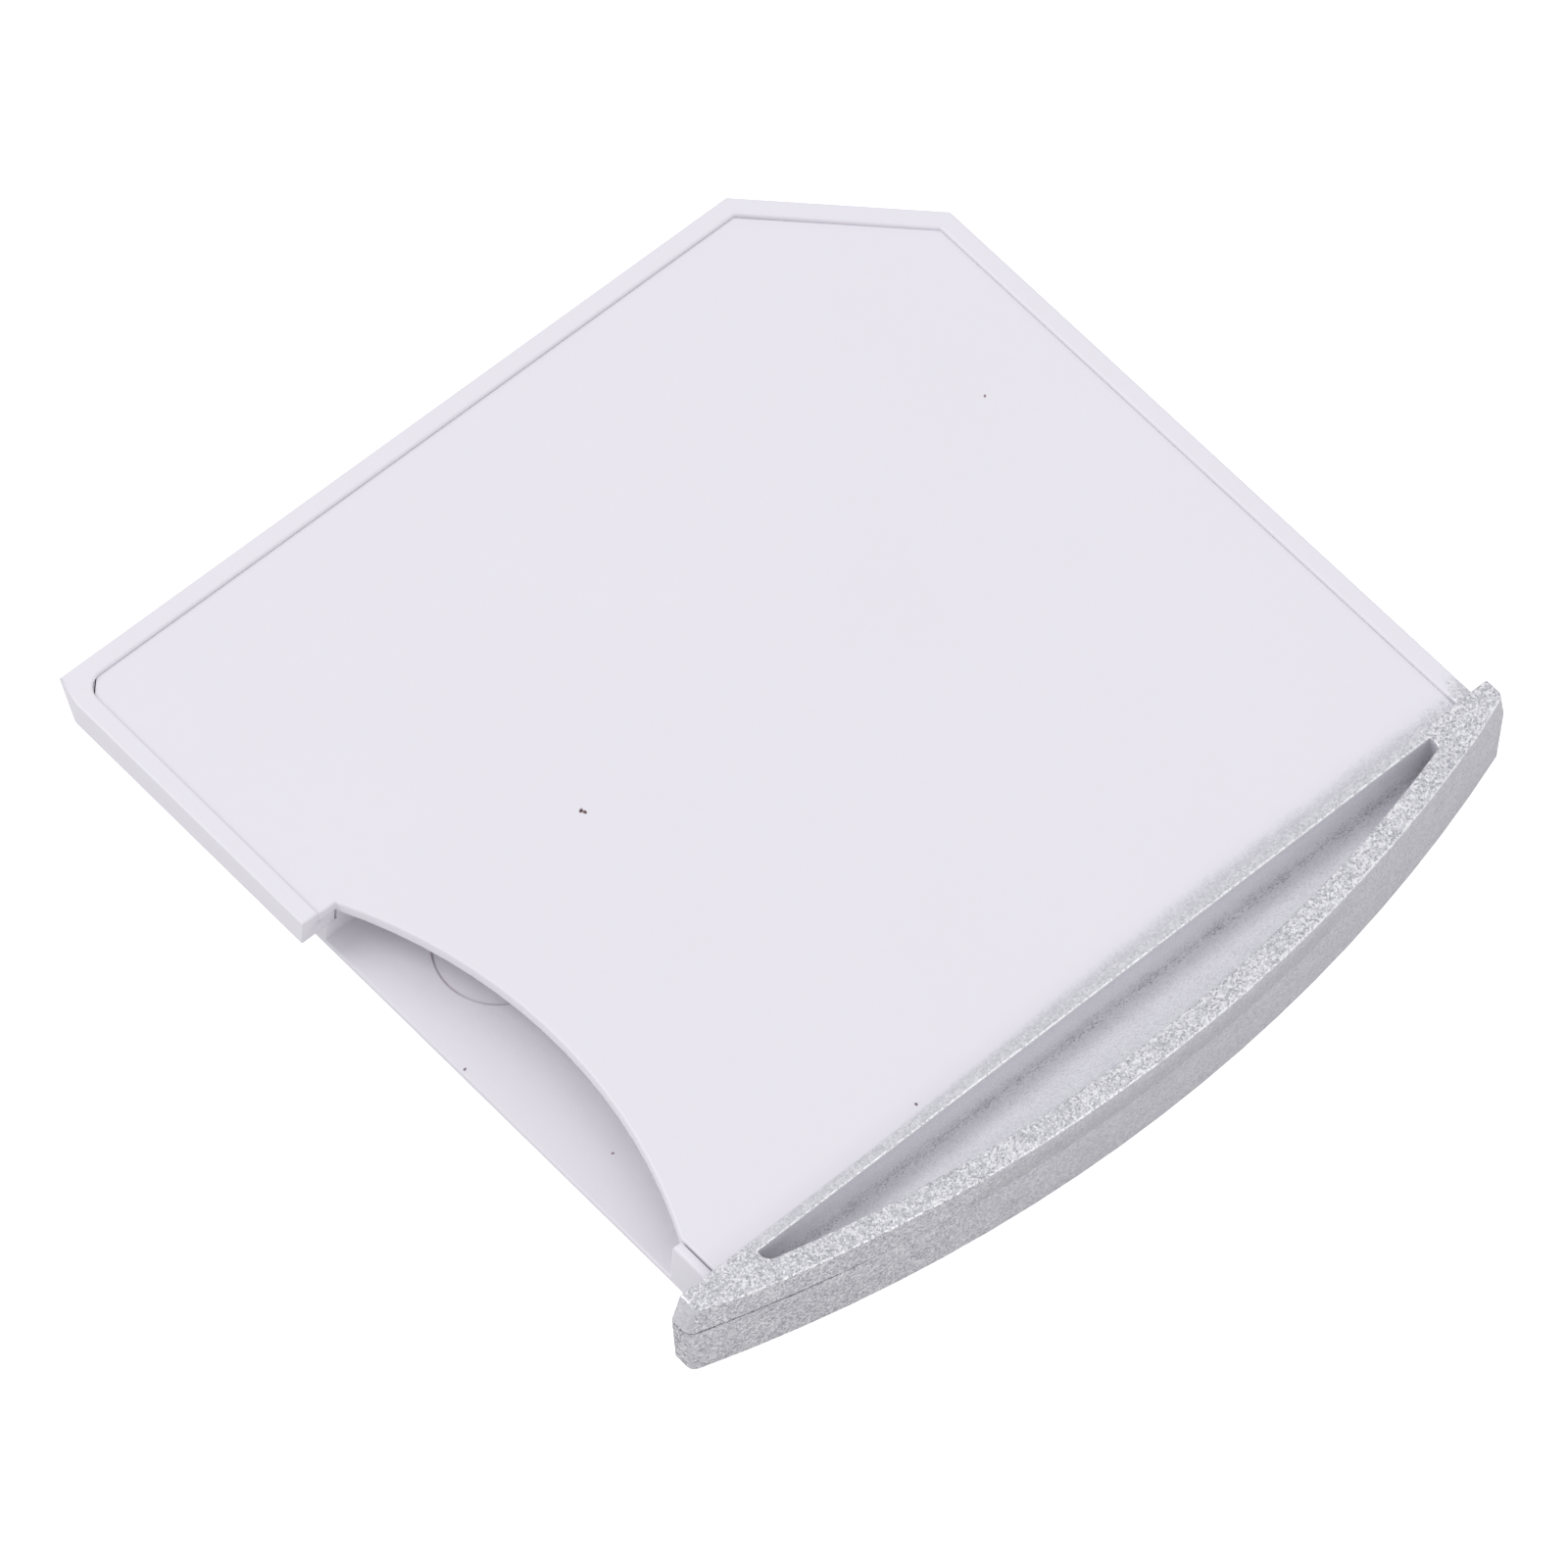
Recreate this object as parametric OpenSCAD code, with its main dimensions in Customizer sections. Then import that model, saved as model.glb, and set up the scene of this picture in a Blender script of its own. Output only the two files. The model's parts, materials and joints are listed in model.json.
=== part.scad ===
// Short SD-size adapter that takes a microSD card through its side.
// X is the width (card slot at -X), +Y is the way the adapter goes into its host,
// +Z is up with the label side on top. The origin is below the middle of the whole
// part, on the plane that the pull lip rests on.

/* [Body] */
// Width over the guide flanges
body_w = 24.0; // [23.8:0.1:30]
// Thickness of the body
body_t = 2.1; // [2.05:0.05:2.8]
// Size of the 45 degree cut corner
corner_cut = 3.65; // [2:0.05:3.8]
// Thickness of the guide flange
flange_t = 0.8; // [0.7:0.05:0.95]
// How far the lower shell stands in from the flange on each side
base_inset = 0.7; // [0.5:0.05:0.8]
// Width of the raised rim
rim_w = 0.48; // [0.3:0.02:0.6]
// Length of the lead-in below the leading edge
lead_in = 0.7; // [0.3:0.05:0.7]

/* [Cover plate] */
// Depth of the plate's top below the rim
plate_drop = 0.1; // [0.05:0.01:0.15]
// Thickness of the plate
plate_t = 0.33; // [0.25:0.01:0.4]
// Width of the ledge that carries the plate
ledge_w = 0.5; // [0.3:0.05:0.6]
// Radius of the plate's corner above the slot's front end
plate_corner_r = 0.5; // [0.2:0.1:1]
// Width of the joint line round the plate
plate_gap = 0.03; // [0.02:0.01:0.06]

/* [Card slot] */
// Length of the slot's mouth, for a card 11 mm wide
slot_len = 11.45; // [11.2:0.05:14]
// Distance from the leading edge to the slot
slot_start = 8.45; // [8.4:0.05:10.5]
// Distance from the slot to the back of the pull lip
slot_wall = 1.1; // [1.1:0.05:3]
// How far the slot reaches in from the edge of its floor
slot_depth = 15.5; // [12.5:0.1:16.2]
// Depth of the slot's floor below the rim
floor_drop = 1.4; // [1.3:0.02:1.44]
// How deep the curved thumb cut-out reaches into the plate
thumb_sagitta = 1.37; // [0.8:0.01:2]
// Distance from the flange's side to the plate's edge at the slot's ends
thumb_inset = 1.03; // [1:0.01:1.2]
// Diameter of the round ejector marks on the floor
ejector_d = 2.92; // [2:0.1:4]
// Width of the post at the slot's rear end
post_w = 0.27; // [0.2:0.01:0.28]

/* [Pull lip] */
// How far the lip stands out past each side of the body
lip_over = 0.45; // [0.2:0.05:1]
// Sideways shift of the lip against the body
lip_shift = 0.15; // [0:0.01:0.2]
// Depth of the lip at its middle
lip_depth = 2.55; // [2.45:0.05:4]
// Radius of the lip's curved front
lip_r = 40; // [38:1:80]
// How far the lip stands above the rim
lip_rise = 0.15; // [0.05:0.01:0.3]
// How far the lip stands below the body
lip_drop = 0.4; // [0.3:0.05:0.8]
// Depth of the lip's parting plane below the rim
lip_split = 0.75; // [0.6:0.01:0.9]
// Radius of the lip's upright corners
lip_corner_r = 0.2; // [0.1:0.05:0.4]

/* [Fingernail pocket] */
// Length of the solid ends beside the pocket
pocket_end = 2.25; // [1.8:0.05:5]
// Thickness of the wall behind the pocket
pocket_back = 0.3; // [0.28:0.01:0.4]
// Width of the band in front of the pocket
pocket_band = 0.6; // [0.55:0.05:0.8]
// Depth of the pocket at its back wall
pocket_depth = 1.3; // [1:0.05:1.35]
// Depth of the pocket's ramp at its front
pocket_front_depth = 0.12; // [0.05:0.01:0.3]

/* [Leads and fingers] */
// Thickness of the stamped leads
lead_t = 0.15; // [0.1:0.01:0.18]
// Width of the lead tracks
track_w = 0.22; // [0.15:0.01:0.26]
// Width of the host contact pads
pad_w = 1.5; // [1.2:0.05:1.6]
// Length of the host contact pads
pad_len = 3.5; // [3:0.1:3.7]
// Width of a spring finger
finger_w = 0.7; // [0.5:0.05:0.84]
// Thickness of a spring finger
finger_t = 0.1; // [0.08:0.01:0.12]
// How far a finger's contact point stands above the slot's floor
finger_rise = 0.35; // [0.25:0.01:0.4]

/* [Detent spring] */
// Thickness of the detent strip
detent_t = 0.12; // [0.1:0.01:0.15]
// How far the detent's bump stands into the slot
detent_bump = 0.3; // [0.2:0.01:0.36]
// Length of the detent's arm
detent_len = 5.4; // [4.5:0.1:6.5]

/* [Hidden] */

$fn = 96;
eps = 0.01;
far = 60;
fit = 0.05;

// Heights, measured up from the plane that the lip rests on
base_z = lip_drop;
top_z = base_z + body_t;
plate_top = top_z - plate_drop;
plate_bottom = plate_top - plate_t;
flange_bottom = top_z - flange_t;
floor_z = top_z - floor_drop;
lip_top = top_z + lip_rise;
split_z = top_z - lip_split;
lead_top = floor_z + lead_t;

// Sizes that follow from the ones above
body_len = slot_start + slot_len + slot_wall;
lip_w = body_w + 2 * lip_over;
pocket_len = lip_w - 2 * pocket_end;

// Places in plan. mid_x is the body's centre line, and the lip's is x = 0.
mid_x = -lip_shift;
front_y = (body_len + lip_depth) / 2;
back_y = front_y - body_len;
side_x = mid_x - body_w / 2;
slot_x = side_x + base_inset;
slot_end_x = slot_x + slot_depth;
slot_front_y = front_y - slot_start;
slot_rear_y = slot_front_y - slot_len;
slot_mid_y = (slot_front_y + slot_rear_y) / 2;
thumb_x = side_x + thumb_inset;
thumb_step = 0.04;
thumb_half = slot_len / 2 - thumb_step;
thumb_r = (pow(thumb_half, 2) + pow(thumb_sagitta, 2)) / (2 * thumb_sagitta);
lip_centre_y = back_y - lip_depth + lip_r;

// The small cut on the leading edge's corner beside the slot: across, then along
nose_cut = [0.18, 0.78];

// Bevel under the lower shell's long edges: across, then up
edge_bevel = [0.5, 0.55];

// Room for the leads, beside the slot and in front of it. The upper part is narrower.
bed_inset = 1.0;
bed_upper_inset = 1.35;
bed_rear_y = slot_front_y + 0.45;

// Ejector marks: place from the slot's mouth and its front end, and depth
ejector_at = [[2.75, 2.65], [11.2, 5.7]];
ejector_depth = 0.03;

// Host pads from -X to +X, from the body's centre line, at the standard pitch
pad_at = [-9.75, -8.05, -5.55, -3.05, -0.55, 4.45, 6.95, 9.45];
ground_pad_2_at = 1.95;
pad_front = 1.5;
corner_pad_front = corner_cut - 0.3;
window_rim = 0.1;
approach_skin = 0.1;
bridge_y = 1.05;
bridge_w = 0.22;

// Tracks run side by side along the slot's front wall, then down beside its deep end
track_step_y = 0.34;
track_step_x = 0.45;
track_first_y = bed_rear_y + 0.2;
track_last_x = side_x + body_w - bed_upper_inset - 0.35;

// Spring fingers at the card's contact pitch. Their roots are clamped by the carrier.
finger_pitch = 1.1;
finger_count = 8;
finger_root_x = slot_end_x + 0.9;
finger_flat = 0.5;
finger_reach = 3.1;
finger_tip = 0.8;
finger_tip_fall = 0.2;
finger_gap = 0.06;
finger_slot_w = 0.9;
finger_slot_depth = 0.45;
root_pad_len = 0.9;

// Detent strip, in a pocket in the slot's rear wall
detent_root_x = slot_x + 2.6;
detent_h = 0.66;
detent_lift = 0.05;
detent_back = 0.12;
detent_room = 0.7;
detent_tail = 0.6;
detent_play = 0.045;
detent_y = slot_rear_y - detent_back - detent_t / 2;
bump_half = 0.8;

// Tongues of the lower shell that hold the lip: places, width, length, thickness
tongue_at = [-5, 5];
tongue_w = 4;
tongue_len = 1.2;
tongue_t = 0.3;
tongue_z = base_z + 0.1;

// Plug round the pocket, and the fine groove along the parting plane
plug_wall = 0.25;
plug_floor = 0.3;
plug_z = lip_top - pocket_depth - plug_floor;
groove_h = 0.04;
groove_in = 0.03;

function pad_x(i) = mid_x + pad_at[i];
function pad_y(i) = front_y - (i == 7 ? corner_pad_front : pad_front);
pad_rear_y = front_y - pad_front - pad_len;
function track_y(i) = track_first_y + i * track_step_y;
function track_x(i) = track_last_x - (finger_count - 1 - i) * track_step_x;
function finger_y(i) = slot_mid_y + finger_pitch * ((finger_count - 1) / 2 - i);

// Outline of the body, standing in by i from its front, sides and cut corner,
// and running back to y = rear
function body_points(i, rear) = [
    [side_x + i, rear],
    [side_x + i, front_y - nose_cut[1] - i],
    [side_x + i + nose_cut[0], front_y - i],
    [side_x + body_w - corner_cut - i * (sqrt(2) - 1), front_y - i],
    [side_x + body_w - i, front_y - corner_cut - i * (sqrt(2) - 1)],
    [side_x + body_w - i, rear]
];

module body_slab(i, rear, z0, z1) {
    translate([0, 0, z0]) linear_extrude(z1 - z0) polygon(body_points(i, rear));
}

module box(x0, x1, y0, y1, z0, z1) {
    translate([x0, y0, z0]) cube([x1 - x0, y1 - y0, z1 - z0]);
}

// Bars with a right-angled triangle for a section, along Y and along X
module bar_along_y(x, z, dx, dz) {
    translate([0, far, 0]) rotate([90, 0, 0]) linear_extrude(2 * far)
        polygon([[x, z], [x + dx, z], [x, z + dz]]);
}

module bar_along_x(y, z, dy, dz) {
    translate([-far, 0, 0]) rotate([90, 0, 90]) linear_extrude(2 * far)
        polygon([[y, z], [y + dy, z], [y, z + dz]]);
}

// Outline of the room inside the rim, standing in by i, with its rounded corner
module plate_outline(i) {
    x = side_x + rim_w + i;
    y = front_y - rim_w - i;
    r = plate_corner_r;
    points = body_points(rim_w + i, -far);
    difference() {
        polygon([points[0], [x, y], points[3], points[4], points[5]]);
        difference() {
            translate([x - eps, y - r]) square(r + eps);
            translate([x + r, y - r]) circle(r);
        }
    }
}

module rim_frame() {
    color("white") difference() {
        body_slab(0, back_y, flange_bottom, top_z);
        translate([0, 0, plate_bottom]) linear_extrude(far) plate_outline(0);
        body_slab(rim_w + ledge_w, -far, -far, far);
        box(-far, thumb_x + ledge_w, -far, slot_front_y, -far, far);
        bar_along_x(front_y, flange_bottom, -lead_in, lead_in);
    }
}

module cover_plate() {
    color("white") translate([0, 0, plate_bottom]) linear_extrude(plate_t) difference() {
        plate_outline(plate_gap);
        translate([-far, -far]) square([2 * far, far + back_y]);
        translate([-far, -far]) square([far + thumb_x, far + slot_front_y]);
        intersection() {
            translate([thumb_x + thumb_sagitta - thumb_r, slot_mid_y]) circle(thumb_r);
            translate([thumb_x - 1, slot_rear_y]) square([far, slot_len]);
        }
    }
}

// Plan of the lead bed, standing in by i and clear of the slot by gap
module bed_plan(i, gap) {
    intersection() {
        polygon(body_points(i, -far));
        union() {
            translate([-far, bed_rear_y + gap]) square(2 * far);
            translate([slot_end_x + gap, slot_rear_y + gap]) square(2 * far);
        }
    }
}

module pad_window(x, y) {
    half = pad_w / 2 - window_rim;
    box(x - half, x + half, pad_rear_y + window_rim, y - window_rim, -far, floor_z + eps);
    box(x - half, x + half, y - window_rim - eps, far, -far, floor_z - approach_skin);
}

module ejector_mark(at) {
    translate([slot_x + at[0], slot_front_y - at[1], floor_z - ejector_depth])
        cylinder(d = ejector_d, h = far);
}

module base_shell() {
    color("whitesmoke") difference() {
        union() {
            body_slab(base_inset, back_y, base_z, flange_bottom);
            body_slab(rim_w + ledge_w + fit, back_y, flange_bottom - eps, plate_bottom);
            box(slot_x, slot_x + post_w, back_y, slot_rear_y, floor_z, plate_top);
            for (x = tongue_at)
                box(x - tongue_w / 2, x + tongue_w / 2, back_y - tongue_len, back_y + eps,
                    tongue_z, tongue_z + tongue_t);
        }
        box(-far, slot_end_x + eps, slot_rear_y, slot_front_y, floor_z, far);
        translate([0, 0, floor_z]) linear_extrude(far) bed_plan(bed_upper_inset, 0);
        translate([0, 0, floor_z]) linear_extrude(flange_bottom - floor_z)
            bed_plan(bed_inset, 0);
        for (i = [0:finger_count - 1]) {
            pad_window(pad_x(i), pad_y(i));
            box(finger_root_x - finger_reach - finger_tip - 2 * finger_gap, finger_root_x,
                finger_y(i) - finger_slot_w / 2, finger_y(i) + finger_slot_w / 2,
                floor_z - finger_slot_depth, far);
        }
        pad_window(mid_x + ground_pad_2_at, front_y - pad_front);
        box(detent_root_x + fit, detent_root_x + detent_len + 2 * fit,
            slot_rear_y - detent_room, slot_rear_y + eps, floor_z, far);
        box(detent_root_x - detent_tail - fit, detent_root_x + 2 * fit,
            detent_y - detent_t / 2 - detent_play, detent_y + detent_t / 2 + detent_play,
            floor_z, far);
        for (at = ejector_at) ejector_mark(at);
        bar_along_y(slot_x, base_z, edge_bevel[0], edge_bevel[1]);
        bar_along_y(side_x + body_w - base_inset, base_z, -edge_bevel[0], edge_bevel[1]);
    }
}

// Plan of the lip, standing in by i: an arc in front, and two small flats at each corner
module lip_plan(i) {
    half = lip_w / 2 - i;
    r = lip_corner_r;
    big = lip_r - i;
    y = lip_centre_y - sqrt(pow(big - r, 2) - pow(half - r, 2));
    turn = 90 - asin((half - r) / (big - r));
    difference() {
        intersection() {
            translate([0, lip_centre_y]) circle(big, $fn = 360);
            translate([-half, back_y - lip_depth]) square([2 * half, lip_depth]);
        }
        for (s = [-1, 1]) polygon(concat(
            [for (a = [0:turn / 2:turn]) [s * (half - r + r * cos(a)), y - r * sin(a)]],
            [[s * (half - r + far * cos(turn)), y - far], [s * far, y - far], [s * far, y]]
        ));
    }
}

// Plan of the pocket, grown by i at its front and ends, with its back wall at y = rear
module pocket_plan(i, rear) {
    half = pocket_len / 2 + i;
    intersection() {
        translate([0, lip_centre_y]) circle(lip_r - pocket_band + i, $fn = 360);
        translate([-half, rear - lip_depth]) square([2 * half, lip_depth]);
    }
}

// The pocket's ramp falls from the front band to the foot of the back wall
module pocket() {
    rear = back_y - pocket_back;
    front = back_y - lip_depth + pocket_band;
    intersection() {
        translate([0, 0, plug_z]) linear_extrude(far) pocket_plan(0, rear);
        translate([-far, 0, 0]) rotate([90, 0, 90]) linear_extrude(2 * far) polygon([
            [rear, lip_top - pocket_depth], [rear, lip_top + far],
            [front, lip_top + far], [front, lip_top - pocket_front_depth]
        ]);
    }
}

// All that stands outside the lip's groove
module lip_groove_plan() {
    difference() {
        translate([-far, -far]) square([2 * far, far + back_y]);
        lip_plan(groove_in);
    }
}

module lip_upper() {
    color("silver") difference() {
        union() {
            translate([0, 0, split_z]) linear_extrude(lip_top - split_z) lip_plan(0);
            translate([0, 0, plug_z]) linear_extrude(split_z - plug_z + eps)
                pocket_plan(plug_wall, back_y);
        }
        translate([0, 0, split_z - far]) linear_extrude(far + groove_h) lip_groove_plan();
        pocket();
    }
}

module lip_lower() {
    color("silver") difference() {
        linear_extrude(split_z) lip_plan(0);
        translate([0, 0, plug_z - fit]) linear_extrude(far) pocket_plan(plug_wall + fit, back_y + eps);
        for (x = tongue_at)
            box(x - tongue_w / 2 - fit, x + tongue_w / 2 + fit, back_y - tongue_len - fit, far,
                tongue_z - fit, tongue_z + tongue_t + fit);
    }
}

module contact_carrier() {
    color("dimgray") difference() {
        translate([0, 0, lead_top]) linear_extrude(plate_bottom - lead_top - eps)
            bed_plan(bed_upper_inset + fit, fit);
        box(-far, finger_root_x + fit, slot_rear_y, slot_front_y, -far, lead_top + 2 * fit);
    }
}

// A straight strip in plan between two points on a line along X or Y
module strip(a, b, w) {
    lo = [min(a[0], b[0]), min(a[1], b[1])];
    hi = [max(a[0], b[0]), max(a[1], b[1])];
    translate(lo - [w / 2, w / 2]) square(hi - lo + [w, w]);
}

module pad_plan(x, y) {
    translate([x - pad_w / 2, pad_rear_y]) square([pad_w, y - pad_rear_y]);
}

module lead(i, bridged = false) {
    root = [finger_root_x, finger_y(i)];
    color("gold") translate([0, 0, floor_z]) linear_extrude(lead_t) union() {
        pad_plan(pad_x(i), pad_y(i));
        strip([pad_x(i), pad_rear_y], [pad_x(i), track_y(i)], track_w);
        strip([pad_x(i), track_y(i)], [track_x(i), track_y(i)], track_w);
        strip([track_x(i), track_y(i)], [track_x(i), root[1]], track_w);
        strip([track_x(i), root[1]], root + [track_w, 0], track_w);
        translate(root - [0, finger_w / 2]) square([root_pad_len, finger_w]);
        if (bridged) ground_bridge(pad_x(i), mid_x + ground_pad_2_at);
    }
}

// The second ground pad, and the strip that joins the two in front of their neighbours
module ground_bridge(x0, x1) {
    y = front_y - bridge_y - bridge_w / 2;
    pad_plan(x1, front_y - pad_front);
    strip([x0, y], [x1, y], bridge_w);
    for (x = [x0, x1]) strip([x, y], [x, front_y - pad_front], bridge_w);
}

// A spring finger: flat at its root, a slope up to the contact point, a turned-down tip
module finger(i) {
    low = floor_z + finger_t / 2;
    high = floor_z + finger_rise - finger_t / 2;
    x = finger_root_x - finger_gap;
    crown = finger_root_x - finger_reach;
    path = [
        [x, low], [x - finger_flat, low], [crown + 0.25, high - 0.03],
        [crown, high], [crown - 0.25, high - 0.03], [crown - finger_tip, high - finger_tip_fall]
    ];
    half = finger_t / 2;
    color("gold") translate([0, finger_y(i) + finger_w / 2, 0]) rotate([90, 0, 0])
        linear_extrude(finger_w) polygon(concat(
            [for (p = path) p + [0, half]],
            [for (k = [len(path) - 1:-1:0]) path[k] - [0, half]]
        ));
}

// The detent strip stands on edge, with a bump that faces into the slot
module detent_spring() {
    tip = detent_root_x + detent_len;
    bump = tip - bump_half;
    peak = slot_rear_y + detent_bump - detent_t / 2;
    path = [
        [detent_root_x - detent_tail, detent_y], [bump - bump_half, detent_y], [bump - 0.15, peak - 0.05],
        [bump, peak], [bump + 0.15, peak - 0.05], [tip, detent_y + 0.05]
    ];
    half = detent_t / 2;
    color("lightgray") translate([0, 0, floor_z + detent_lift]) linear_extrude(detent_h)
        polygon(concat(
            [for (p = path) p - [0, half]],
            [for (k = [len(path) - 1:-1:0]) path[k] + [0, half]]
        ));
}

rim_frame();
cover_plate();
base_shell();
lip_upper();
lip_lower();
contact_carrier();
lead(0);  // lead_dat1
lead(1);  // lead_dat0
lead(2, bridged = true);  // lead_ground
lead(3);  // lead_clock
lead(4);  // lead_supply
lead(5);  // lead_command
lead(6);  // lead_dat3
lead(7);  // lead_dat2
finger(0);  // finger_dat1
finger(1);  // finger_dat0
finger(2);  // finger_ground
finger(3);  // finger_clock
finger(4);  // finger_supply
finger(5);  // finger_command
finger(6);  // finger_dat3
finger(7);  // finger_dat2
detent_spring();
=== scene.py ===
"""Looks of a short memory card adapter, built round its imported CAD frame, in metres."""

import json
import math

import bmesh
import bpy
from bpy.props import FloatProperty, FloatVectorProperty, PointerProperty
from mathutils import Matrix, Vector

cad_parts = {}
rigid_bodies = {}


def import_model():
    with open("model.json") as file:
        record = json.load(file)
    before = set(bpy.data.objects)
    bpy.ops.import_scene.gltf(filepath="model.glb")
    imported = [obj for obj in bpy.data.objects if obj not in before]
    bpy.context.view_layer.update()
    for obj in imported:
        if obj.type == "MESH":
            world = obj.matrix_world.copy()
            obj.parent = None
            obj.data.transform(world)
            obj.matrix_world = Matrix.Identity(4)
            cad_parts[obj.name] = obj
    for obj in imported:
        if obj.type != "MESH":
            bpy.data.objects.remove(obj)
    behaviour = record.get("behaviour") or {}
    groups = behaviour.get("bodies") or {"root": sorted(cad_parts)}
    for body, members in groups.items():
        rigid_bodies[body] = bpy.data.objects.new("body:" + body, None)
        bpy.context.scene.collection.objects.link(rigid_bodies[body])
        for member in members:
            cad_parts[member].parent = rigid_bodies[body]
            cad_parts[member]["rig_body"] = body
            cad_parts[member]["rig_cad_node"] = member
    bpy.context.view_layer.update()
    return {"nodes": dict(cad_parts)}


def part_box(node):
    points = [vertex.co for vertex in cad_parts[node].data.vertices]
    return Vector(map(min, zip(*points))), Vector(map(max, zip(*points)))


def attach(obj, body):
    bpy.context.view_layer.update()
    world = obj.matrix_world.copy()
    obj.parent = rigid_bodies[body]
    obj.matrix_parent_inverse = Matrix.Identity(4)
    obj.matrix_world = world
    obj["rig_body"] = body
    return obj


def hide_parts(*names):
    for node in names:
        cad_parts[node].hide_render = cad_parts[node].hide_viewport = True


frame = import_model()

bl_info = {
    "name": "Card adapter looks",
    "version": (1, 0, 0),
    "blender": (4, 5, 0),
    "location": "3D View > Sidebar > Card adapter",
    "description": "Moulded shells, a sprayed pull lip and gold contacts for a card adapter",
    "category": "Add Mesh",
}

MM = 0.001
HOUSING, FINGERS, DETENT = "housing", "contact_fingers", "detent"
LINES = ("dat1", "dat0", "ground", "clock", "supply", "command", "dat3", "dat2")

# The floor's own light on the part and towards the camera
FLOOR_GLOW = (0.2, 0.9)
# How much of the joint line round the cover plate the plate fills, in millimetres
GAP_TAKEN = 0.028
# Where the lip's parting line closes and where it gapes, and how far, in millimetres
CLOSED_FROM, CLOSED_BY = -7.5, 0.034
OPEN_TO, OPEN_BY = -9.4, 0.03
# Rounding of the front upright edges at the pocket's ends, in millimetres
POCKET_NOSE = 0.17
# Where along the lip those edges stand, on either side of the middle, in millimetres
POCKET_ENDS = (10, 10.5)
# Depth of the pocket, in millimetres
POCKET_DEPTH = 1.3
# The pocket's wall lies this far before the lip's rear face, in millimetres
POCKET_WALL = 0.3
# Rounding of the post beside the slot and of the lower half's end corners, in millimetres
POST_EDGE, END_EDGE = 0.09, 0.06
# How near counts as the same height or depth, in millimetres
NEAR = 0.01
# Least share of a direction that lies along one axis, for an edge that runs along it
ALONG = 0.9

# Points closer than this are merged, in millimetres; faces flatter than this are joined
MERGE, FLAT = 0.0004, math.radians(0.4)
# Faces that meet at less than this are shaded as one
SMOOTH = math.radians(38)
# How strongly large faces keep their own normals
FACE_WEIGHT = 80

# The ejector mark seen through the slot: middle and radius, in millimetres
RING_PLACE, RING_RADIUS = (-8.7, 0.675, 1.08), 1.46
RING_TINT = (0.3, 0.2, 0.26, 1)
# How strongly the ring and the mist show, and how metallic the mist is
RING_SHOWN, MIST_SHOWN, MIST_METAL = 0.5, 0.7, 0.35
# Specks in the white plastic: place and radius in millimetres, colour
SPECKS = [
    ((-5.42, 1.57, 2.40), 0.065, (0.1, 0.05, 0.05)),
    ((-5.39, 1.48, 2.40), 0.055, (0.14, 0.09, 0.09)),
    ((9.02, 3.89, 2.40), 0.04, (0.25, 0.18, 0.2)),
    ((-4.94, -8.95, 2.40), 0.045, (0.16, 0.12, 0.16)),
    ((-11.32, -1.21, 1.10), 0.045, (0.2, 0.13, 0.17)),
    ((-10.29, -4.96, 1.10), 0.035, (0.3, 0.2, 0.26)),
    ((-10.17, -6.59, 1.10), 0.035, (0.3, 0.2, 0.26)),
]
# Shade of the lacquer's dark grains, and of its bright ones; the bright one also colours the
# painted edge highlight
DARK_GRAIN, BRIGHT_GRAIN_AND_EDGE_HIGHLIGHT = (0.16, 0.16, 0.18, 1), (1.0, 1.0, 1.0, 1)
# Worn plating, and the carrier's plastic
TARNISH_TINT, CARRIER_TINT = (0.45, 0.27, 0.12, 1), (0.045, 0.045, 0.05, 1)
# Flakes in the pocket against those outside: size, tilt
FINER, CALMER = 0.8, 0.35

# The point that the camera looks at, in millimetres
AIM = (-1.1043, -0.4723, 1.5040)
# The lamps: name, place in metres, diameter
LAMPS = (("Key", (-0.25, 0.25, 0.36), 0.3), ("Glint", (0.19, -0.41, 0.18), 0.14))
ROOM_TINT = (0.97, 0.975, 1, 1)
# Size of the floor in metres, and how far it lies below the part, in millimetres
FLOOR_SIZE, FLOOR_DROP = 3, 0.02


def corners_mm(node):
    """Lowest and highest corner of a CAD node, in millimetres."""
    low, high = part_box(node)
    return low / MM, high / MM


# ---------------------------------------------------------------- sizes and colours


class ShellLook(bpy.types.PropertyGroup):
    """Finish of the white mouldings"""

    rim_edge: FloatProperty(
        name="Rim edge", description="Rounding of the rim's edges, in millimetres",
        default=0.06, min=0.01, max=0.12)
    plate_edge: FloatProperty(
        name="Plate edge", description="Rounding of the cover plate's edges, in millimetres",
        default=0.055, min=0.01, max=0.12)
    floor_edge: FloatProperty(
        name="Lower shell edge", description="Rounding of the lower shell, in millimetres",
        default=0.04, min=0.01, max=0.08)
    white: FloatVectorProperty(
        name="White", description="Colour of the plastic", subtype="COLOR", size=3,
        default=(0.81, 0.785, 0.835), min=0, max=1)
    mottle: FloatProperty(
        name="Mottle", description="How much the white varies over the part",
        default=0.025, min=0, max=0.2)
    overspray: FloatProperty(
        name="Overspray", description="Reach of the silver mist beyond the lip",
        default=0.42 * MM, min=0, max=2 * MM, unit="LENGTH", precision=5)


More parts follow.
